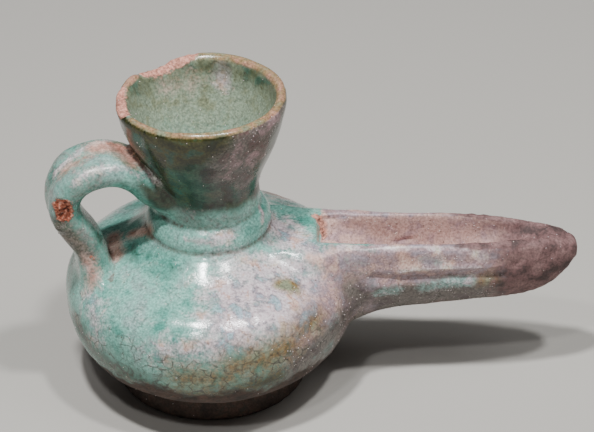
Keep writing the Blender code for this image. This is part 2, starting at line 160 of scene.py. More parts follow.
# Noises that the whole surface shares: size in millimetres, detail, roughness and distortion.
# The speck is the crust's own grain, drawn as coarse as the render needs to show it.
NOISES = {
    "cloud": (16.0, 6.0, 0.66, 0.4),
    "blotch": (5.5, 5.0, 0.62, 0.6),
    "hue": (5.5, 4.0, 0.60, 0.2),
    "grain": (1.5, 4.0, 0.70, 0.3),
    "speck": (0.75, 2.0, 0.60, 0.0),
}
SPECK_TEAR = 0.25
SPECK_SHARE = 0.42
GLAZE_COLOURS = ("deep_glaze_and_shade", "turquoise", "light_glaze", "grey_glaze", "pale_glaze")
GLAZE_ROUGHNESS = 0.15
GLAZE_IOR = 1.5
CLOUD_SHARE = 0.72
# A noise seldom leaves the middle of its range, so colours are spread over that part.
RAMP_START = 0.36
RAMP_LENGTH = 0.28
# Under this value of its field, a finish fades out, whatever the noises say.
FIELD_START = 0.12

# Nets of cracks: size of a cell in millimetres, width of a line in cells, strength, and the noise
# that breaks the net up between two values. The bend makes the cracks wander, and they stop where
# a field of bare clay begins.
CRACK_NETS = ((3.1, 0.10, 1.0, "blotch"), (1.5, 0.09, 0.30, "grain"))
CRACK_GAPS = (0.42, 0.59)
CRACK_BEND_SIZE_MM = 3.0
CRACK_BEND_MM = 1.6
CRACK_DEPTH_MM = 0.05
BARE = {"From Min": 0.35, "From Max": 0.55, "To Min": 1.0, "To Max": 0.0}
CRACK_LIMITS = {"crackled": {}, "channel_clay": BARE, "sooty_clay": BARE, "dusty_clay": BARE,
                "bare_clay": BARE, "fresh_break": BARE}
SOIL_ROUGHNESS = 0.9

# Dots by colour: size of a cell in millimetres, radius in cells, the values of the blotch noise
# between which they come, and strength.
DOTS = {"soil": (3.1, 0.11, 0.50, 0.62, 0.8), "lime": (1.7, 0.13, 0.54, 0.72, 0.20)}

# The stuck grains: colours from dark to light, size of their patches in millimetres, gloss, and the
# seeds of their places, sizes and turns.
GRAIN_COLOURS = ("soil", "silver_patina", "lime")
GRAIN_TONE_MM = 1.4
GRAIN_ROUGHNESS = 0.8
PLACE_SEED = 7
SIZE_SEED = 11
TURN_SEED = 13

# Round lights over the stage: place and size in metres, the setting of their power, and the share
# of it that each gets.
LIGHTS = {
    "key light": ((-0.12, -0.26, 1.02), 0.08, "key_power", 1),
    "second key light": ((0.27, -0.26, 1.02), 0.08, "key_power", 0.6),
    "front light": ((-0.16, -0.54, 0.97), 0.08, "front_power", 1),
    "fill light": ((0.55, -0.15, 0.90), 0.50, "fill_power", 1),
    "back light": ((-0.30, 0.75, 0.70), 0.60, "fill_power", 0.5),
}
AIR_COLOUR = (0.86, 0.88, 0.9, 1.0)
AIR_STRENGTH = 0.06
HALF_FLOOR = 2.5
FLOOR_ROUGHNESS = 0.9

# Patches of each finish: reach in pixels of the photograph, strength, and the points that the patch
# runs along, in pixels from the photograph's left and top.
PATCHES = {
    "deep_glaze_and_shade": {
        "under the collar": (12, 0.9, (130, 248), (145, 258), (176, 264)),
        "behind the neck": (7, 0.6, (276, 200), (292, 207)),
        # Under the handle and low on the body this is gathered glaze and painted shade; on the handle's
        # lower leg it is painted shade.
        "glaze and painted shade under the handle": (6, 0.7, (120, 186), (140, 192), (154, 207)),
        "painted shade on the handle's lower leg": (10, 1, (84, 206), (92, 222), (100, 240)),
        "gathered glaze and painted shade low on the body": (16, 0.9, (80, 335), (104, 362), (140, 385)),
        "low in the cup": (12, 0.55, (192, 116), (214, 118), (232, 112)),
        "spot on the cup": (8, 0.8, (190, 142), (200, 148)),
    },
    "green_wash_and_shade": {
        # All four are painted shade: under the cup's overhang, on the handle's side and low on the
        # body.
        "painted shade at the waist": (8, 1.1, (176, 196), (186, 204), (206, 206), (236, 203)),
        "painted shade under the cup": (11, 1, (184, 184), (205, 190), (235, 190)),
        "painted shade on the handle's side": (10, 1.15, (60, 226), (72, 240), (84, 256)),
        "painted shade low at the left": (14, 0.75, (76, 322), (92, 350), (118, 372), (150, 384)),
    },
    "silver_patina": {
        "shoulder beside the neck": (16, 0.95, (278, 226), (292, 240), (312, 250)),
        "body, upper": (22, 0.85, (240, 280), (266, 272), (300, 268)),
        "body, middle": (26, 1.1, (232, 296), (268, 292), (304, 290)),
        "body, main": (26, 1.1, (228, 324), (254, 318), (292, 312), (320, 292)),
        "body, lower": (18, 0.85, (212, 344), (250, 340)),
        "shoulder": (14, 0.7, (282, 246), (306, 244)),
        "collar": (4, 0.3, (190, 214), (200, 209)),
        "ring": (4, 0.8, (210, 238), (232, 236)),
        "thin at the left": (14, 0.6, (92, 300), (96, 330)),
        "thin low on the body": (16, 0.6, (160, 350), (190, 352)),
        "bluish run in the cup": (8, 0.6, (222, 60), (223, 82)),
    },
    "mauve_patina": {
        "far brim": (7, 1.3, (316, 206), (345, 208), (380, 210)),
        "side of the spout": (17, 1.25, (338, 262), (380, 262), (430, 262), (505, 260)),
        "under the spout": (14, 1.2, (340, 284), (364, 282)),
        "under the spout's root": (20, 1.1, (336, 288), (330, 306), (318, 326), (302, 346)),
    },
    "grimy_glaze_and_shade": {
        "handle's back": (9, 0.6, (50, 186), (54, 176), (66, 166)),
        "dull collar": (6, 0.45, (176, 218), (206, 224), (240, 218)),
        # Painted shade low on the body by the spout.
        "painted shade low by the spout": (14, 1.2, (296, 366), (320, 348), (342, 322)),
        "violet hollow under the spout": (13, 1, (350, 290), (364, 297), (352, 310)),
    },
    "left_glaze": {
        "cream patch": (6, 0.5, (346, 260), (362, 262)),
        "cream patch farther on": (6, 0.5, (424, 258), (440, 262)),
        "under the spout's edge": (5, 1.1, (378, 292), (396, 290)),
        "under the edge, farther on": (5.5, 1.2, (424, 287), (448, 284), (472, 282)),
    },
    "olive_glaze": {
        "cup, left": (9, 1.1, (134, 124), (146, 142), (160, 158)),
        "cup, front": (12, 1.2, (160, 146), (172, 160), (186, 150)),
        "cup, right": (10, 1.1, (188, 150), (206, 154), (222, 146)),
        "running down the cup": (8, 1, (166, 172), (176, 186), (182, 198)),
        "under the lip": (6, 0.9, (150, 132), (180, 140), (210, 141)),
        "spot by the spout": (3.5, 1, (284, 286), (290, 287)),
        "in the cup, back": (9, 0.75, (198, 66), (208, 66)),
        "in the cup, right": (9, 0.75, (252, 72), (262, 82)),
        "brown edge of the ochre": (10, 1.1, (170, 394), (206, 396), (244, 390), (276, 378)),
    },
    "ochre_glaze": {
        "yellow ring by the spout": (6.5, 1.3, (281, 285), (292, 288)),
        "by the tip": (6, 1, (482, 282), (498, 280)),
        "low on the body": (16, 1, (236, 366), (252, 362), (270, 358), (286, 348)),
        "towards the spout": (12, 0.8, (300, 334), (316, 320)),
        "towards the left": (15, 0.85, (182, 378), (206, 380), (232, 376)),
    },
    "rough_patina": {
        "cup, right edge": (14, 1.15, (248, 138), (264, 128), (278, 112)),
        "cup, middle": (14, 1.1, (232, 160), (256, 156)),
        "cup, lower": (9, 0.9, (222, 176), (248, 178)),
        "neck": (6, 0.8, (255, 192), (262, 180)),
    },
    "worn_edge_and_highlight": {
        "first streak on the shoulder": (2.4, 1, (258, 206), (262, 213), (262, 221)),
        "second streak on the shoulder": (2.6, 1, (272, 221), (276, 229), (279, 234)),
        "third streak on the shoulder": (2.4, 1, (288, 221), (296, 225), (303, 228)),
        "far brim, worn": (5, 1.2, (318, 207), (335, 208), (360, 210), (390, 211), (420, 212)),
        "handle's foot": (5, 0.7, (88, 266), (96, 276)),
        "handle's outer edge": (4, 0.75, (112, 139), (96, 143), (80, 151), (66, 162), (55, 174)),
        "handle's fold": (3.5, 0.6, (74, 184), (86, 174), (104, 168), (124, 168), (140, 176)),
        # A pale mark at the end of the strap that is a painted highlight.
        "painted highlight at the end of the strap": (4, 0.6, (146, 172), (158, 182)),
        "near brim": (2.8, 1, (340, 246), (362, 247), (392, 249), (430, 249), (466, 248)),
        "pale oval on the spout": (4.5, 0.7, (474, 254), (486, 257)),
        "ridge on the spout": (2, 0.8, (400, 271), (420, 269), (450, 268), (480, 267)),
        "thin glaze by the spout's root": (5, 0.8, (262, 256), (274, 262)),
        "edge of the ring": (3, 0.7, (186, 240), (212, 243), (232, 241)),
    },
    "lip_glaze": {
        "left side of the cup": (3, 0.6, (124, 130), (130, 148), (138, 160)),
    },
    "dusty_clay": {
        "top of the handle": (10, 1, (96, 148), (108, 146), (120, 148), (132, 160)),
        "back of the handle": (7, 0.7, (64, 172), (74, 164), (86, 157)),
        "foot of the handle": (7, 0.75, (88, 262), (94, 272), (92, 284)),
        "left of the collar": (8.5, 1.1, (114, 238), (113, 250), (117, 256)),
        "above the collar": (7, 1, (132, 234), (140, 232), (150, 230)),
        "streak on the shoulder": (3, 0.9, (292, 238), (298, 240)),
        "blotch before the spout": (5, 0.8, (308, 257), (314, 259)),
        "fleck on the spout": (6, 0.8, (402, 254), (408, 262)),
        "rusty film in the cup": (14, 0.35, (168, 88), (192, 80)),
    },
    "bare_clay": {
        "rim broken away at the left": (6, 1.25, (119, 90), (118, 96), (119, 104), (124, 113)),
        "rim broken away at the back": (6, 1.3, (145, 73), (155, 71), (165, 67), (178, 60), (188, 55),
                                        (196, 52)),
        "barest place by the cup": (4.5, 0.8, (110, 143), (122, 147)),
        "torn at the channel's root": (6, 0.85, (317, 218), (320, 227), (324, 236)),
    },
    "fresh_break": {
        "scar on the handle": (9, 1.1, (62, 207), (64, 215)),
        "fleck under the scar": (1.6, 0.9, (91, 257), (95, 259)),
    },
}

# Lines that stand proud of the surface or lie below it: height in millimetres, reach in pixels of
# the photograph, and points as above.
RIDGES = {
    "crusted edge along the spout": (0.6, 2.4, (398, 271), (420, 269), (450, 268), (496, 266)),
    "groove under that edge": (-0.95, 4, (372, 278), (400, 279), (450, 277), (500, 275)),
    "hollow of the newest break": (-0.45, 5, (60, 206), (62, 214)),
    "crack in the newest break": (-0.5, 1.6, (56, 203), (66, 209), (60, 217)),
    "lump under the newest break": (0.9, 4, (59, 228), (66, 230)),
    "gap over the lump": (-0.7, 1.6, (58, 222), (66, 223)),
    "slit at the channel's root": (-0.8, 1.8, (320, 219), (334, 218), (346, 217)),
    "first crack in the torn clay": (-0.7, 1.6, (318, 221), (324, 229), (322, 238)),
    "second crack in the torn clay": (-0.6, 1.6, (327, 220), (333, 228), (329, 238)),
    "crevice in the channel": (-0.6, 1.8, (396, 242), (404, 240), (412, 239)),
    "curved flake under the spout": (0.5, 2, (376, 286), (382, 289), (387, 287)),
    "raised chip of the far brim": (0.8, 4, (430, 210), (446, 210), (462, 211)),
    "crest of the tip": (0.5, 3, (502, 242), (530, 240), (556, 240)),
    "pit in the tip": (-0.5, 2.5, (516, 264), (520, 262)),
    "glaze's lower edge": (0.3, 4, (80, 362), (110, 374), (150, 383), (190, 388), (230, 385)),
    "bare clay under that edge": (-0.35, 3, (84, 372), (110, 382), (150, 392), (190, 398), (230, 396)),
    "turning line low on the body": (-0.25, 2, (150, 362), (178, 364), (205, 366), (230, 362)),
    "run of glaze on the shoulder": (0.35, 3, (258, 205), (262, 214), (262, 222)),
    "scrape on the shoulder": (0.3, 2, (286, 220), (296, 225), (304, 229)),
    "blob of glaze by the spout": (0.5, 6, (288, 285)),
}

# The far side carries the same finishes, more broadly laid: finish, reach in millimetres, strength,
# and the points that the stain runs along, in millimetres.
STAINS = (
    ("silver_patina", 15, 0.85, (30, 36, 36), (10, 46, 30)),
    ("silver_patina", 11, 0.8, (-28, 36, 26), (-36, 26, 32)),
    ("mauve_patina", 9, 0.95, (52, 13, 42), (84, 11, 42)),
    ("ochre_glaze", 10, 0.9, (-6, 42, 14), (16, 40, 15)),
    ("olive_glaze", 7, 0.9, (8, 26, 92), (14, 20, 84)),
    ("olive_glaze", 6, 0.8, (-16, 14, 88), (-12, 14, 78)),
    ("mauve_patina", 8, 0.9, (-4, 24, 90), (0, 20, 82)),
    ("deep_glaze_and_shade", 9, 0.8, (-24, 28, 46), (-6, 36, 45)),
    ("dusty_clay", 3.5, 0.8, (20, 34, 44), (24, 33, 43)),
)

# Sizes of the hand-made form, in millimetres.
CLAY_LENGTHS = {
    "grid": ("Spacing of the fine mesh", 0.95),
    "dent_depth": ("Depth of the slow unevenness left by hands", 0.35),
    "shoulder_swell": ("How far the shoulder swells over a plain cone", 1.05),
    "shoulder_radius": ("Where the shoulder swells most", 37.5),
    "shoulder_reach": ("How far the swell spreads either way", 6),
    "ring_height": ("Height of the ridges left by throwing", 0.06),
    "ring_spacing": ("Distance between throwing ridges", 4.6),
    "groove_depth": ("Depth of the grooves under the ring and the collar", 0.55),
    "crust": ("Height of the weathered crust on the glaze", 0.10),
    "break_grain": ("Depth of the grain on broken clay", 0.60),
}

# Colours of the clay, the glaze and its weathering, as sRGB values.
COLOURS = {
    "light_glaze": ("Turquoise glaze where it lies thin", "#88c0b2"),
    "turquoise": ("Turquoise glaze where it lies thicker", "#74b0a2"),
    "grey_glaze": ("Turquoise glaze dulled by weather", "#8fb0aa"),
    "pale_glaze": ("Milky glaze", "#a8d3c9"),
    # Gathered glaze; through its finish also the colour of painted shade low on the body and on the
    # handle.
    "deep_glaze_and_shade": ("Glaze gathered in hollows", "#529688"),
    "green_glaze": ("Green of gathered glaze", "#2d5546"),
    # Dark green glaze of the cup; through its finish also the colour of painted shade at the waist,
    # under the cup and on the handle.
    "green_wash_and_shade": ("Thin dark green glaze on the cup", "#3c4f3c"),
    "inside_wash": ("Dull glaze in the cup", "#93a18c"),
    "dull_wash": ("Darker wash in the cup", "#83896f"),
    "olive_glaze": ("Glaze stained by iron", "#4c4a24"),
    "dark_olive": ("Darkest iron stain", "#2a2e1b"),
    "ochre_glaze": ("Rusty crackled glaze", "#8b6f45"),
    "silver_patina": ("Silvery crust of weathered glaze", "#d8c9ce"),
    "lilac_patina": ("Darker lilac of the crust", "#a1949d"),
    "blue_patina": ("Bluish sheen of the crust", "#a5b5c3"),
    "rosy_patina": ("Crust where pink clay shows through", "#d6b2a5"),
    "mauve_patina": ("Crust on the spout's side", "#a88b8d"),
    "cream_glaze": ("Glaze worn thin over an edge", "#967d5a"),
    "lip_clay": ("Clay that shows along the lip", "#b98c76"),
    # Sooty glaze; through its finish also the colour of painted shade low at the front, by the spout
    # and on the strap.
    "grimy_glaze_and_shade": ("Glaze under a film of soot", "#746c66"),
    "dusty_clay": ("Rubbed clay under a film of dust", "#b98f80"),
    "moss_glaze": ("Brownish green where the cup's glaze is thin", "#4f5541"),
    "channel_clay": ("Smoked clay inside the channel", "#c4a198"),
    "sooty_clay": ("Clay of the spout's tip, stained by smoke", "#745655"),
    "smoked_clay": ("Clay where the smoke has worn off", "#886a68"),
    "dark_clay": ("Darker smoke stain", "#4d3b3a"),
    "bare_clay": ("Fired clay without glaze", "#dc9d8a"),
    "rosy_clay": ("Redder fired clay", "#a26d5d"),
    "fresh_break": ("Orange clay of the newest break", "#a85a40"),
    "burnt_clay": ("Dark lines in the newest break", "#4f2219"),
    "crackle_dirt": ("Dirt in the glaze's fine cracks", "#3d3a33"),
    "soil": ("Soil left in grooves", "#5b463c"),
    "burnt_soil": ("Darkest soil on the foot", "#332924"),
    "lime": ("Pale grains stuck to the surface", "#e4dcd0"),
}


def linear_colour(code):
    """Linear red, green, blue and alpha of an sRGB hex value."""
    channels = [int(code[i:i + 2], 16) / 255.0 for i in (1, 3, 5)]
    linear = [c / 12.92 if c <= 0.04045 else ((c + 0.055) / 1.055) ** 2.4 for c in channels]
    return (*linear, 1.0)


def title(name):
    """A setting's name in plain words."""
    return name.replace("_", " ").capitalize()


def colour_setting(name, description, code):
    return FloatVectorProperty(name=title(name), description=description, subtype="COLOR", size=4,
                               min=0.0, max=1.0, default=linear_colour(code))


def length_setting(name, description, millimetres):
    return FloatProperty(name=title(name), description=description, subtype="DISTANCE",
                         unit="LENGTH", min=0.0, default=millimetres * MM)


def power_setting(name, description, watts):
    return FloatProperty(name=title(name), description=description, subtype="POWER", unit="POWER",
                         default=watts)


class LampClaySettings(bpy.types.PropertyGroup):
    """Sizes of the hand-made form."""
    __annotations__ = {name: length_setting(name, *length) for name, length in CLAY_LENGTHS.items()}


class LampGlazeSettings(bpy.types.PropertyGroup):
    """Colours of the clay, the glaze and its weathering."""
    __annotations__ = {name: colour_setting(name, *colour) for name, colour in COLOURS.items()}


class LampGritSettings(bpy.types.PropertyGroup):
    """Grains of lime and sand stuck to the crust, as radii."""
    density: FloatProperty(name="Density", description="Grains a square metre of the roughest crust",
                           min=0.0, default=220000.0)
    smallest: length_setting("smallest", "Radius of the smallest grain", 0.07)
    largest: length_setting("largest", "Radius of the largest grain", 0.21)


class LampStageSettings(bpy.types.PropertyGroup):
    """The camera's place, as fitted to the foot, the collar and the rim, and the light."""
    distance: length_setting("distance", "From the camera to the point looked at", 750)
    elevation: FloatProperty(name="Elevation", description="Height of the view over level",
                             subtype="ANGLE", default=math.radians(32.7))
    roll: FloatProperty(name="Roll", description="Turn of the camera about its own line of sight",
                        subtype="ANGLE", default=math.radians(-0.32))
    target_along: length_setting("target_along", "Point looked at, along the spout", 28.26)
    target_height: length_setting("target_height", "Point looked at, over the floor", 58.41)
    pixels_per_mm: FloatProperty(name="Pixels a millimetre", default=3.125,
                                 description="Scale at the point looked at")
    key_power: power_setting("key_light", "Power of the light above", 9.5)
    front_power: power_setting("front_light", "Power of the light near the camera", 2.2)
    fill_power: power_setting("fill_light", "Power of the light from the side", 1.4)
    floor: colour_setting("floor", "Pale floor of the studio", "#b9b6b0")


class PhotoView(NamedTuple):
    """The camera's place and axes, and its focal length in pixels."""
    place: Vector
    right: Vector
    up: Vector
    back: Vector
    focal: float

    def line(self, pixel):
        """Direction from the camera through a pixel of the photograph."""
        across = (float(pixel[0]) - PHOTO_WIDTH / 2) / self.focal
        down = (float(pixel[1]) - PHOTO_HEIGHT / 2) / self.focal
        return (across * self.right - down * self.up - self.back).normalized()


def photo_view(stage):
    back = Vector((0.0, -math.cos(stage.elevation), math.sin(stage.elevation)))
    right = Vector((1.0, 0.0, 0.0))
    up = back.cross(right)
    c, s = math.cos(stage.roll), math.sin(stage.roll)
    target = Vector((stage.target_along, 0.0, stage.target_height))
    focal = stage.pixels_per_mm * stage.distance / MM
    return PhotoView(place=target + back * stage.distance, right=c * right + s * up,
                     up=c * up - s * right, back=back, focal=focal)


def link_object(name, data):
    obj = bpy.data.objects.new(name, data)
    bpy.context.scene.collection.objects.link(obj)
    return obj


def plain_mesh(obj, name):
    """The evaluated object as a plain mesh, with the object itself removed."""
    bpy.context.view_layer.update()
    evaluated = obj.evaluated_get(bpy.context.evaluated_depsgraph_get())
    mesh = bpy.data.meshes.new_from_object(evaluated)
    mesh.name = name
    bpy.data.objects.remove(obj, do_unlink=True)
    return mesh


class Surface:
    """A mesh's points and edges as arrays, with the smoothing and the noise that shape them."""

    def __init__(self, mesh):
        self.mesh = mesh
        self.points = self.read(mesh.vertices, "co", 3)
        edges = self.read(mesh.edges, "vertices", 2, np.int32)
        self.start = np.concatenate([edges[:, 0], edges[:, 1]])
        self.end = np.concatenate([edges[:, 1], edges[:, 0]])
        self.degree = np.bincount(self.start, minlength=len(self.points)).astype(float)
        self.normals = self.read(mesh.vertices, "normal", 3)

    @staticmethod
    def read(items, name, width, kind=np.float32):
        values = np.empty(len(items) * width, dtype=kind)
        items.foreach_get(name, values)
        return values.reshape(-1, width).astype(float if kind == np.float32 else int)

    def average(self, values):
        """Mean of each point's neighbours."""
        sums = [np.bincount(self.start, weights=column[self.end], minlength=len(self.points))
                for column in values.reshape(len(values), -1).T]
        return (np.stack(sums, axis=-1) / self.degree[:, None]).reshape(values.shape)

    def smooth(self, rounds, share, regain=0.0):
        """Moves points towards their neighbours' mean; regain undoes most of the shrinking."""
        weight = np.asarray(share)
        weight = weight[:, None] if weight.ndim else weight
        for _ in range(rounds):
            self.points += weight * (self.average(self.points) - self.points)
            if regain:
                self.points -= weight * regain * (self.average(self.points) - self.points)

    def write(self):
        self.mesh.vertices.foreach_set("co", self.points.astype(np.float32).ravel())
        self.mesh.update()
        self.normals = self.read(self.mesh.vertices, "normal", 3)

    def noise(self, name):
        """Smooth noise between about -1 and 1, with the size and the seed of its name."""
        size, seed = CLAY_NOISES[name]
        places = self.points * (1.0 / (size * MM)) + seed
        return np.array([noise.noise(place) for place in places.tolist()])

    def outward(self):
        """How far each point faces away from the upright axis: 1 straight out, -1 straight in."""
        x, y, _ = self.points.T
        return (x * self.normals[:, 0] + y * self.normals[:, 1]) / np.maximum(np.hypot(x, y), MM)

    def curvature(self, rounds=2):
        """How hollow the surface is: above nought in a groove, below it on an edge."""
        drift = np.einsum("ij,ij->i", self.average(self.points) - self.points, self.normals)
        for _ in range(rounds):
            drift = self.average(drift)
        return drift


def fine_copy(node, grid):
    """An evenly fine copy of a node: its loose triangles merged, then meshed anew."""
    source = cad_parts[node].data.copy()
    shape = bmesh.new()
    shape.from_mesh(source)
    bmesh.ops.remove_doubles(shape, verts=shape.verts, dist=WELD_DISTANCE)
    shape.to_mesh(source)
    shape.free()
    obj = link_object("clay", source)
    remesh = obj.modifiers.new("even grid", "REMESH")
    remesh.mode = "VOXEL"
    remesh.voxel_size = grid
    remesh.adaptivity = 0.0
    return plain_mesh(obj, "glazed lamp")


def near_line(points, line, reach):
    """A field that is 1 on a line of points, one half at its reach and nought at twice that."""
    field = np.zeros(len(points))
    low, high = line.min(0) - 2 * reach, line.max(0) + 2 * reach
    inside = np.flatnonzero(((points > low) & (points < high)).all(1))
    if not len(inside):
        return field
    nearest = np.full(len(inside), np.inf)
    for place in line:
        nearest = np.minimum(nearest, ((points[inside] - place) ** 2).sum(1))
    field[inside] = np.clip(1.0 - np.sqrt(nearest) / (2.0 * reach), 0.0, 1.0)
    return field


def dense_line(points):
    """Points along a line of few points, about a step apart."""
    points = [np.array(p, dtype=float) for p in points]
    line = [points[0]]
    for before, after in zip(points, points[1:]):
        count = max(1, math.ceil(np.linalg.norm(after - before) / LINE_STEP))
        line += [before + (after - before) * k / count for k in range(1, count + 1)]
    return line


def mix(low, high, share):
    return low + (high - low) * share


def smooth_step(low, high, values):
    share = np.clip((values - low) / (high - low), 0.0, 1.0)
    return share * share * (3.0 - 2.0 * share)


class PhotoLines:
    """Finds where lines of the photograph lie on the lamp."""

    def __init__(self, surface, stage):
        self.surface = surface
        self.view = photo_view(stage)
        self.pixel = MM / stage.pixels_per_mm
        corners = [tuple(p.vertices) for p in surface.mesh.polygons]
        self.tree = BVHTree.FromPolygons(surface.points.tolist(), corners)

    def field(self, pixels, reach):
        """A field round a line of pixels that is 1 on the line, or nought if it misses the lamp."""
        hits = [self.tree.ray_cast(self.view.place, self.view.line(pixel))[:2]
                for pixel in dense_line(pixels)]
        hits = [(tuple(place), tuple(normal)) for place, normal in hits if place is not None]
        if not hits:
            return np.zeros(len(self.surface.points))
        places, normals = np.array(hits).swapaxes(0, 1)
        facing = normals.mean(axis=0)
        same_way = self.surface.normals @ (facing / np.linalg.norm(facing))
        near = near_line(self.surface.points, places, reach * self.pixel)
        return near * smooth_step(*SAME_WAY, same_way)


def lay(fields, name, field):
    """Lays a field into a finish's own, where it is the higher of the two."""
    fields[name] = np.maximum(fields[name], field)


def lay_patches(surface, stage):
    """The field of each finish over the lamp, from the patches of the photograph and the stains."""
    lines = PhotoLines(surface, stage)
    fields = {finish.name: np.zeros(len(surface.points)) for finish in FINISHES}
    for name, patches in PATCHES.items():
        for reach, strength, *pixels in patches.values():
            lay(fields, name, strength * lines.field(pixels, reach))
    outer = smooth_step(*OUTWARD, surface.outward())
    for name, reach, strength, *points in STAINS:
        line = np.array(dense_line(points)) * MM
        lay(fields, name, strength * near_line(surface.points, line, reach * MM) * outer)
    return fields


def lay_ridges(surface, stage):
    """Raises and sinks the surface along the ridges."""
    lines = PhotoLines(surface, stage)
    shift = np.zeros(len(surface.points))
    for height_mm, reach, *pixels in RIDGES.values():
        shift += height_mm * MM * smooth_step(0, 1, lines.field(pixels, reach))
    surface.points += shift[:, None] * surface.normals
    surface.write()


class LAMP_OT_shape_and_glaze(bpy.types.Operator):
    """Make the lamp's fine form from its solid, lay its finishes and replace the solid"""
    bl_idname = "lamp.shape_and_glaze"
    bl_label = "Shape and glaze the lamp"

    def execute(self, context):
        clay = context.scene.lamp_clay
        mesh = fine_copy(NODE, clay.grid)
        surface = Surface(mesh)
        surface.smooth(WHOLE_ROUNDS, SMOOTH_SHARE, SMOOTH_REGAIN)
        surface.smooth(JOINT_ROUNDS, SMOOTH_SHARE * self.joints(surface))
        surface.write()
        stage = context.scene.lamp_stage
        fields = lay_patches(surface, stage)
        lay_ridges(surface, stage)
        self.add_regions(surface, fields)
        self.add_relief(surface, fields, clay)
        surface.points = np.clip(surface.points, *np.array(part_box(NODE)))
        surface.write()
        fields["hollow"] = self.hollows(surface)
        for name, field in fields.items():
            attribute = mesh.attributes.new(name, "FLOAT", "POINT")
            attribute.data.foreach_set("value", field.astype(np.float32))
        mesh.shade_smooth()
        mesh.materials.clear()
        mesh.materials.append(glazed_clay(context.scene.lamp_glaze))
        lamp = link_object("glazed_lamp", mesh)
        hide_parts(NODE)
        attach(lamp, "root")
        return {"FINISHED"}

    @staticmethod
    def joints(surface):
        """One where the clay was rubbed smooth: the roots of spout and handle, shoulder and lip."""
        x, y, z = surface.points.T / MM
        lip = 0.35 * smooth_step(100.5, 102.5, z)
        shoulder = 0.9 * smooth_step(34, 38, z) * smooth_step(54, 49, z)
        off_neck_and_spout = smooth_step(35, 38, np.hypot(x, y)) * smooth_step(44, 40, x)
        field = np.maximum(lip, shoulder * off_neck_and_spout)
        for place, reach in JOINTS:
            gap = (surface.points / MM - place) / reach
            field = np.maximum(field, smooth_step(1, 0.6, np.linalg.norm(gap, axis=1)))
        return field

    @staticmethod
    def groove_gap(surface):
        """Distance in millimetres from the nearer of the two grooves under the neck."""
        x, y, z = surface.points.T / MM
        gaps = [np.hypot(np.hypot(x - NECK_SHIFT * (height - COLLAR_HEIGHT_MM), y) - radius, z - height)
                for radius, height in GROOVES]
        return np.minimum(*gaps)

    def hollows(self, surface):
        """How much soil a place holds: the tight hollows, and the grooves."""
        tight = smooth_step(0.02, 0.10, surface.curvature() / MM)
        groove = 1.05 * np.clip(1.0 - self.groove_gap(surface) / SOIL_WIDTH_MM, 0.0, 1.0)
        return np.maximum(tight, groove)

    @staticmethod
    def add_regions(surface, fields):
        """Finishes that follow the form: the sooty spout, the worn lip, the bare foot, and painted
        shade low on the body, at the waist and on the strap. Each step runs between two heights or
        places in millimetres, with an edge that wobbles."""
        x, y, z = surface.points.T / MM
        ny, nz = surface.normals.T[1:]
        radius = np.hypot(x, y)
        outward = surface.outward()
        wobble = surface.noise("slow edge")
        fine = surface.noise("fine edge")

        on_brim = smooth_step(49, 51, z)
        far_brim = smooth_step(35, 38, x) * smooth_step(5, 7, y) * on_brim
        beyond_root = smooth_step(46, 56, x + 2.0 * wobble)
        under_root = smooth_step(36, 44, x + 2.0 * wobble) * smooth_step(46, 38, z)
        soot_edge = 92.0 + 5.0 * wobble + 3.0 * fine - 16.0 * smooth_step(0.4, 0.8, nz) * on_brim
        sooty_tip = smooth_step(-12, 12, x - soot_edge)
        sooty_keel = smooth_step(33, 27, z + 2.0 * wobble) * smooth_step(60, 74, x)
        keel = smooth_step(41, 37, z + 1.5 * wobble) * smooth_step(48, 56, x)
        # Painted shade: darker low at the front, towards the spout.
        low_front_shade = smooth_step(36, 22, z + 3.0 * wobble) * smooth_step(6, 30, x)
        # The strap takes a grey film, which partly stands for painted shade on its lower leg, and some
        # silver crust.
        strap = smooth_step(-26, -34, x) * smooth_step(49, 54, z)
        belly = smooth_step(24, 32, z) * smooth_step(66, 62, z)
        in_channel = (smooth_step(8.8, 7.6, np.abs(y)) * smooth_step(34.6, 36, x)
                      * smooth_step(54.2, 53, z) * smooth_step(20, 34, z)
                      * smooth_step(0.2, 0.6, np.clip(0.4 - np.sign(y) * ny + nz, 0.0, 1.0)))
        under_belly = smooth_step(25, 18, z + 3.0 * wobble + 1.5 * fine) * (radius < 46.5)
        # Darker towards the bottom: glaze gathered low, and painted shade.
        low_glaze_and_shade = smooth_step(30, 14, z + 4.0 * wobble) * (radius < 52.0)
        lip = smooth_step(0.2, 0.7, nz) * smooth_step(101.8, 103.2, z)
        cup_inside = (radius < 32.0) * smooth_step(0, -0.4, outward)
        inside_from_throat = cup_inside * mix(0.6, 1.0, smooth_step(76, 92, z + 4.0 * wobble))
        inside_rim = cup_inside * smooth_step(94, 103, z + 3.0 * wobble)
        wall_radius = mix(17.0, 30.0, (z - 68.0) / 36.0)
        cup_outside = smooth_step(6.5, 2.5, radius - wall_radius) * smooth_step(0, 0.4, outward)
        # The cup's dark green glaze reaches down to the waist, where it partly stands for painted shade
        # under the cup.
        outside_wall = cup_outside * smooth_step(67, 73, z + 2.0 * wobble)
        outside_rim = cup_outside * smooth_step(99.5, 102, z)

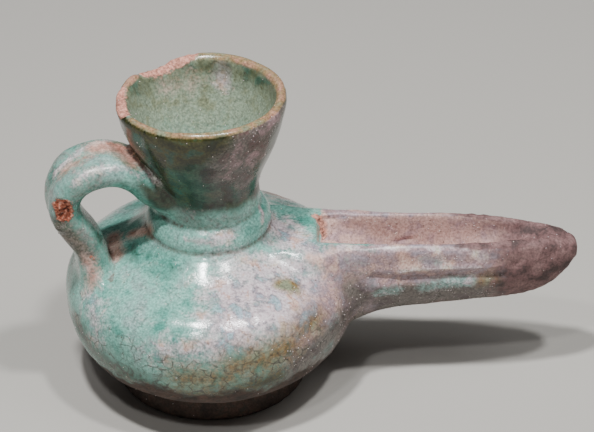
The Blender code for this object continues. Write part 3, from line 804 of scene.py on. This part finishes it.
        for name, strength, region in (
                ("mauve_patina", 1.1, beyond_root), ("mauve_patina", 1.0, under_root),
                ("mauve_patina", 1.2, far_brim), ("sooty_clay", 1.1, sooty_tip),
                ("sooty_clay", 0.8, sooty_keel), ("grimy_glaze_and_shade", 1.0, keel),
                ("grimy_glaze_and_shade", 0.9, low_front_shade), ("grimy_glaze_and_shade", 0.40, strap),
                ("silver_patina", 0.15, strap), ("silver_patina", 0.06, belly),
                ("channel_clay", 1.0, in_channel), ("foot_soil", 1.0, under_belly),
                ("deep_glaze_and_shade", 1.0, low_glaze_and_shade), ("lip_glaze", 1.1, lip),
                ("inside_wash", 1.0, inside_from_throat), ("green_wash_and_shade", 1.05, outside_wall),
                ("olive_glaze", 0.75, outside_rim), ("olive_glaze", 0.6, inside_rim)):
            lay(fields, name, strength * region)

        crusted = np.maximum(fields["silver_patina"], fields["mauve_patina"])
        crusted = np.maximum(crusted, fields["rough_patina"])
        crusted = crusted * (1.0 - 0.8 * np.clip(fields["sooty_clay"], 0.0, 1.0))
        low, high = np.array(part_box(NODE))
        spare = np.minimum(surface.points - low, high - surface.points).min(axis=1) / MM
        fields["grit"] = (0.12 + smooth_step(0.3, 0.9, crusted)) * smooth_step(0.6, 1.2, spare)
        fields["crackled"] = mix(0.34, 1.0, smooth_step(44, 30, z + 3.0 * wobble))

    def add_relief(self, surface, fields, clay):
        """Throwing rings, dents, crust and broken grain, as a shift along each normal."""
        x, y, z = surface.points.T
        x_mm, _, z_mm = surface.points.T / MM
        radius = np.hypot(x, y)
        turned = smooth_step(0.060, 0.050, radius) * smooth_step(0, 0.02, radius)
        upright = 1.0 - np.abs(surface.normals[:, 2])
        height = z + 1.2 * MM * surface.noise("ring height")
        rings = np.sin(2.0 * math.pi * height / clay.ring_spacing) * surface.noise("ring strength")
        shift = clay.ring_height * rings * turned * upright
        shift -= clay.groove_depth * np.exp(-(self.groove_gap(surface) / GROOVE_WIDTH_MM) ** 2)
        shoulder = np.exp(-((radius - clay.shoulder_radius) / clay.shoulder_reach) ** 2)
        shoulder *= (smooth_step(37, 42, z_mm) * smooth_step(54, 50, z_mm)
                     * smooth_step(44, 38, x_mm))
        shift += clay.shoulder_swell * shoulder * smooth_step(0.1, 0.4, surface.outward())
        above_foot = smooth_step(4, 10, z_mm)
        shift += above_foot * clay.dent_depth * surface.noise("dents")
        shift += above_foot * 0.55 * clay.dent_depth * surface.noise("small dents")

        def where(field, start=0.4, full=0.8):
            return smooth_step(start, full, field)

        grain = surface.noise("crust")
        crusted = np.maximum(fields["silver_patina"], 1.6 * fields["rough_patina"])
        broken = np.maximum(fields["fresh_break"], fields["bare_clay"])
        shift += clay.crust * where(crusted, 0.35, 0.7) * grain
        shift += clay.break_grain * where(broken) * (surface.noise("break") - 0.2)
        shift -= 0.4 * clay.break_grain * where(fields["fresh_break"])
        shift += 0.5 * clay.break_grain * where(fields["sooty_clay"]) * grain * above_foot
        surface.points += shift[:, None] * surface.normals


def add_node(tree, kind, inputs=None, **settings):
    """Adds a node with its settings and gives back its first output in use; an input's value may be
    a socket, which is then linked."""
    node = tree.nodes.new(kind)
    for key, value in settings.items():
        setattr(node, key, value)
    for key, value in (inputs or {}).items():
        if isinstance(value, bpy.types.NodeSocket):
            tree.links.new(value, node.inputs[key])
        else:
            node.inputs[key].default_value = value
    return next((output for output in node.outputs if output.enabled), node)


def new_material(name):
    material = bpy.data.materials.new(name)
    material.use_nodes = True
    tree = material.node_tree
    return material, tree, tree.nodes["Principled BSDF"].inputs


def per_metre(millimetres):
    """A texture's scale for features of a size in millimetres."""
    return 1.0 / (millimetres * MM)


def mottled(tree, tone, colours, names):
    """Colours from dark to light, spread over the usual range of a noise."""
    ramp = add_node(tree, "ShaderNodeValToRGB", {"Fac": tone})
    elements = ramp.node.color_ramp.elements
    for index, name in enumerate(names):
        place = RAMP_START + RAMP_LENGTH * index / (len(names) - 1)
        if index > 1:
            elements.new(place)
        elements[index].position = place
        elements[index].color = tuple(getattr(colours, name))
    return ramp


def glazed_clay(colours):
    """Alkaline glaze, turquoise from copper, over fired clay: glossy and finely crackled where it is
    whole, silvery and rough where it has weathered, with bare pink clay where it has flaked. Some of
    its darker finishes are painted shade, low on the body, at the waist and on the handle, and one pale
    mark at the strap's end is a painted highlight."""
    material, tree, shader = new_material("weathered alkaline glaze on fired clay")
    place = add_node(tree, "ShaderNodeTexCoord").node.outputs["Object"]
    noises = {}
    for name, (size, detail, rough, bend) in NOISES.items():
        noises[name] = add_node(tree, "ShaderNodeTexNoise",
                                {"Vector": place, "Scale": per_metre(size), "Detail": detail,
                                 "Roughness": rough, "Distortion": bend})

    cloud = add_node(tree, "ShaderNodeMath", {0: noises["cloud"], 1: CLOUD_SHARE}, operation="MULTIPLY")
    cloud = add_node(tree, "ShaderNodeMath", {0: noises["hue"], 1: 1.0 - CLOUD_SHARE, 2: cloud},
                     operation="MULTIPLY_ADD")
    colour = mottled(tree, cloud, colours, GLAZE_COLOURS)
    roughness, height = GLAZE_ROUGHNESS, 0.0
    for finish in FINISHES:
        share = finish_share(tree, finish, noises)
        patch = mottled(tree, noises[finish.tone], colours, finish.colours)
        bump = add_node(tree, "ShaderNodeMath", {0: noises["grain"], 1: finish.relief_mm * MM},
                        operation="MULTIPLY")
        colour = add_node(tree, "ShaderNodeMix", {"Factor": share, "A": colour, "B": patch},
                          data_type="RGBA")
        roughness = add_node(tree, "ShaderNodeMix",
                             {"Factor": share, "A": roughness, "B": finish.roughness})
        height = add_node(tree, "ShaderNodeMix", {"Factor": share, "A": height, "B": bump})

    cracks = crack_share(tree, place, noises)
    height = add_node(tree, "ShaderNodeMath", {0: cracks, 1: -CRACK_DEPTH_MM * MM, 2: height},
                      operation="MULTIPLY_ADD")
    soiled = soil_share(tree, noises)
    roughness = add_node(tree, "ShaderNodeMix", {"Factor": soiled, "A": roughness, "B": SOIL_ROUGHNESS})
    layers = [(cracks, "crackle_dirt"), (soiled, "soil")]
    layers += [(dot_share(tree, place, noises, *dots), name) for name, dots in DOTS.items()]
    for share, name in layers:
        colour = add_node(tree, "ShaderNodeMix",
                          {"Factor": share, "A": colour, "B": tuple(getattr(colours, name))},
                          data_type="RGBA")
    speckle = add_node(tree, "ShaderNodeMapRange",
                       {"Value": noises["speck"], "From Min": 0.3, "From Max": 0.7,
                        "To Min": 0.05, "To Max": 0.95})
    colour = add_node(tree, "ShaderNodeMix", {"Factor": SPECK_SHARE, "A": colour, "B": speckle},
                      data_type="RGBA", blend_type="OVERLAY")
    relief = add_node(tree, "ShaderNodeBump", {"Height": height, "Distance": 1.0, "Strength": 1.0})
    for socket, name in ((colour, "Base Color"), (roughness, "Roughness"), (relief, "Normal")):
        tree.links.new(socket, shader[name])
    shader["IOR"].default_value = GLAZE_IOR
    return material


def finish_share(tree, finish, noises):
    """How far a finish covers the surface: its field, with its edge torn by blotches and grains."""
    field = add_node(tree, "ShaderNodeAttribute", attribute_name=finish.name).node.outputs["Fac"]
    torn = field
    for name, tear in (("blotch", finish.blotchy), ("grain", finish.grainy), ("speck", SPECK_TEAR)):
        centred = add_node(tree, "ShaderNodeMath", {0: noises[name], 1: 0.5}, operation="SUBTRACT")
        torn = add_node(tree, "ShaderNodeMath", {0: centred, 1: tear, 2: torn},
                        operation="MULTIPLY_ADD")
    share = add_node(tree, "ShaderNodeMapRange",
                     {"Value": torn, "From Min": 0.5 - finish.soft, "From Max": 0.5 + finish.soft},
                     interpolation_type="SMOOTHSTEP")
    near = add_node(tree, "ShaderNodeMapRange", {"Value": field, "From Max": FIELD_START})
    return add_node(tree, "ShaderNodeMath", {0: share, 1: near}, operation="MULTIPLY")


def crack_share(tree, place, noises):
    """The net of fine cracks that a glaze gets as it cools, held off the bare clay.
    The real cracks are finer than the render can show, so the lines are drawn twice as wide."""
    bend = add_node(tree, "ShaderNodeTexNoise",
                    {"Vector": place, "Scale": per_metre(CRACK_BEND_SIZE_MM), "Detail": 3.0})
    bent = add_node(tree, "ShaderNodeVectorMath",
                    {0: bend.node.outputs["Color"], "Scale": CRACK_BEND_MM * MM}, operation="SCALE")
    warped = add_node(tree, "ShaderNodeVectorMath", {0: place, 1: bent}, operation="ADD")
    share = 0.0
    for cell_mm, width, most, noise_name in CRACK_NETS:
        cracks = add_node(tree, "ShaderNodeTexVoronoi", {"Vector": warped, "Scale": per_metre(cell_mm)},
                          feature="DISTANCE_TO_EDGE")
        line = add_node(tree, "ShaderNodeMapRange",
                        {"Value": cracks, "From Max": width, "To Min": 1.0, "To Max": 0.0})
        strength = add_node(tree, "ShaderNodeMapRange",
                            {"Value": noises[noise_name], "From Min": CRACK_GAPS[0],
                             "From Max": CRACK_GAPS[1], "To Max": most})
        drawn = add_node(tree, "ShaderNodeMath", {0: line, 1: strength}, operation="MULTIPLY")
        share = add_node(tree, "ShaderNodeMath", {0: share, 1: drawn}, operation="MAXIMUM")
    for name, ends in CRACK_LIMITS.items():
        field = add_node(tree, "ShaderNodeAttribute", attribute_name=name).node.outputs["Fac"]
        limit = add_node(tree, "ShaderNodeMapRange", {"Value": field, **ends})
        share = add_node(tree, "ShaderNodeMath", {0: share, 1: limit}, operation="MULTIPLY")
    return share


def soil_share(tree, noises):
    """How far soil fills the grooves and the tight hollows."""
    hollow = add_node(tree, "ShaderNodeAttribute", attribute_name="hollow").node.outputs["Fac"]
    held = add_node(tree, "ShaderNodeMath", {0: hollow, 1: noises["grain"]}, operation="ADD")
    return add_node(tree, "ShaderNodeMapRange",
                    {"Value": held, "From Min": 1.0, "From Max": 1.5, "To Max": 0.85})


def dot_share(tree, place, noises, cell_mm, radius, low, high, most):
    """Dots scattered all over: dark pits of burst bubbles, or pale grains."""
    cells = add_node(tree, "ShaderNodeTexVoronoi", {"Vector": place, "Scale": per_metre(cell_mm)})
    dot = add_node(tree, "ShaderNodeMapRange",
                   {"Value": cells, "From Min": 0.6 * radius, "From Max": 1.3 * radius,
                    "To Min": 1.0, "To Max": 0.0})
    often = add_node(tree, "ShaderNodeMapRange",
                     {"Value": noises["blotch"], "From Min": low, "From Max": high, "To Max": most})
    return add_node(tree, "ShaderNodeMath", {0: dot, 1: often}, operation="MULTIPLY")


def grain_tree():
    """Geometry Nodes that stick grains to a surface, the more the higher its grit."""
    tree = bpy.data.node_groups.new("grains stuck to clay", "GeometryNodeTree")
    for name, kind in (("Geometry", "Geometry"), ("Grains a square metre", "Float"),
                       ("Smallest", "Float"), ("Largest", "Float"), ("Grain", "Material")):
        tree.interface.new_socket(name, in_out="INPUT", socket_type="NodeSocket" + kind)
    tree.interface.new_socket("Geometry", in_out="OUTPUT", socket_type="NodeSocketGeometry")
    given = add_node(tree, "NodeGroupInput").node.outputs
    grit = add_node(tree, "GeometryNodeInputNamedAttribute", {"Name": "grit"}, data_type="FLOAT")
    density = add_node(tree, "ShaderNodeMath", {0: grit, 1: given["Grains a square metre"]},
                       operation="MULTIPLY")
    points = add_node(tree, "GeometryNodeDistributePointsOnFaces",
                      {"Mesh": given["Geometry"], "Density": density, "Seed": PLACE_SEED})
    grain = add_node(tree, "GeometryNodeMeshIcoSphere", {"Radius": 1.0, "Subdivisions": 1})
    size = add_node(tree, "FunctionNodeRandomValue",
                    {2: given["Smallest"], 3: given["Largest"], "Seed": SIZE_SEED}, data_type="FLOAT")
    turn = add_node(tree, "FunctionNodeRandomValue",
                    {1: (math.tau, math.tau, math.tau), "Seed": TURN_SEED}, data_type="FLOAT_VECTOR")
    stuck = add_node(tree, "GeometryNodeInstanceOnPoints",
                     {"Points": points, "Instance": grain, "Rotation": turn, "Scale": size})
    real = add_node(tree, "GeometryNodeRealizeInstances", {"Geometry": stuck})
    dressed = add_node(tree, "GeometryNodeSetMaterial", {"Geometry": real, "Material": given["Grain"]})
    add_node(tree, "NodeGroupOutput", {"Geometry": dressed})
    return tree


def grain_material(colours):
    """Grains of lime and sand from the ground, dull and mostly pale, that make the crust rough."""
    material, tree, shader = new_material("lime and sand grains")
    place = add_node(tree, "ShaderNodeTexCoord").node.outputs["Object"]
    tone = add_node(tree, "ShaderNodeTexNoise", {"Vector": place, "Scale": per_metre(GRAIN_TONE_MM)})
    tree.links.new(mottled(tree, tone, colours, GRAIN_COLOURS), shader["Base Color"])
    shader["Roughness"].default_value = GRAIN_ROUGHNESS
    return material


class LAMP_OT_stick_grains(bpy.types.Operator):
    """Stick grains of lime and sand to the crust of the finished lamp"""
    bl_idname = "lamp.stick_grains"
    bl_label = "Stick grains to the crust"

    def execute(self, context):
        grit = context.scene.lamp_grit
        obj = link_object("grains", bpy.data.objects["glazed_lamp"].data.copy())
        modifier = obj.modifiers.new("grains", "NODES")
        modifier.node_group = grain_tree()
        values = {"Grains a square metre": grit.density, "Smallest": grit.smallest,
                  "Largest": grit.largest, "Grain": grain_material(context.scene.lamp_glaze)}
        for socket in modifier.node_group.interface.items_tree:
            if socket.name in values:
                modifier[socket.identifier] = values[socket.name]
        mesh = plain_mesh(obj, "grains")
        if not mesh.polygons:
            raise RuntimeError("No grains were stuck to the lamp")
        grains = link_object("lime_grains", mesh)
        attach(grains, "root")
        return {"FINISHED"}


class LAMP_OT_set_stage(bpy.types.Operator):
    """Set the pale floor, the soft studio light and the camera"""
    bl_idname = "lamp.set_stage"
    bl_label = "Set the stage"

    def execute(self, context):
        stage = context.scene.lamp_stage
        self.add_floor(stage)
        self.add_camera(context, stage)
        for name, (place, size, power, share) in LIGHTS.items():
            self.add_area(name, place, size, share * getattr(stage, power), stage)
        world = bpy.data.worlds.new("studio air")
        world.use_nodes = True
        air = world.node_tree.nodes["Background"].inputs
        air["Color"].default_value = AIR_COLOUR
        air["Strength"].default_value = AIR_STRENGTH
        context.scene.world = world
        return {"FINISHED"}

    @staticmethod
    def add_floor(stage):
        corners = [(HALF_FLOOR * x, HALF_FLOOR * y, 0) for x, y in ((-1, -1), (1, -1), (1, 1), (-1, 1))]
        mesh = bpy.data.meshes.new("floor")
        mesh.from_pydata(corners, [], [(0, 1, 2, 3)])
        material, _, shader = new_material("matt paper backdrop")
        shader["Base Color"].default_value = tuple(stage.floor)
        shader["Roughness"].default_value = FLOOR_ROUGHNESS
        mesh.materials.append(material)
        link_object("floor", mesh)

    @staticmethod
    def add_camera(context, stage):
        view = photo_view(stage)
        data = bpy.data.cameras.new("camera")
        data.sensor_width = SENSOR_MM
        data.lens = view.focal / PHOTO_WIDTH * SENSOR_MM
        data.clip_start = 0.01
        camera = link_object("camera", data)
        axes = Matrix((view.right, view.up, view.back)).transposed().to_4x4()
        camera.matrix_world = Matrix.Translation(view.place) @ axes
        context.scene.camera = camera

    @staticmethod
    def add_area(name, place, size, power, stage):
        data = bpy.data.lights.new(name, "AREA")
        data.shape = "DISK"
        data.size = size
        data.energy = power
        light = link_object(name, data)
        light.location = place
        aim = Vector((stage.target_along, 0.0, stage.target_height)) - Vector(place)
        light.rotation_euler = aim.to_track_quat("-Z", "Y").to_euler()


class LAMP_PT_panel(bpy.types.Panel):
    """Sidebar panel that lists the lamp's steps"""
    bl_label = "Oil lamp"
    bl_idname = "LAMP_PT_panel"
    bl_space_type = "VIEW_3D"
    bl_region_type = "UI"
    bl_category = "Oil lamp"

    def draw(self, context):
        for operator in OPERATORS:
            self.layout.operator(operator.bl_idname)
        for settings in (getattr(context.scene, name) for name in SETTINGS):
            box = self.layout.box()
            for name in settings.bl_rna.properties.keys():
                if name not in {"rna_type", "name"}:
                    box.prop(settings, name)


OPERATORS = (LAMP_OT_set_stage, LAMP_OT_shape_and_glaze, LAMP_OT_stick_grains)
SETTINGS = {"lamp_clay": LampClaySettings, "lamp_glaze": LampGlazeSettings,
            "lamp_grit": LampGritSettings, "lamp_stage": LampStageSettings}


def register():
    for settings in SETTINGS.values():
        bpy.utils.register_class(settings)
    for name, settings in SETTINGS.items():
        setattr(bpy.types.Scene, name, PointerProperty(type=settings))
    for shown in (*OPERATORS, LAMP_PT_panel):
        bpy.utils.register_class(shown)


def unregister():
    for shown in (LAMP_PT_panel, *reversed(OPERATORS)):
        bpy.utils.unregister_class(shown)
    for name, settings in SETTINGS.items():
        delattr(bpy.types.Scene, name)
        bpy.utils.unregister_class(settings)


def main():
    register()
    bpy.ops.lamp.set_stage()
    bpy.ops.lamp.shape_and_glaze()
    bpy.ops.lamp.stick_grains()


if __name__ == "__main__":
    main()
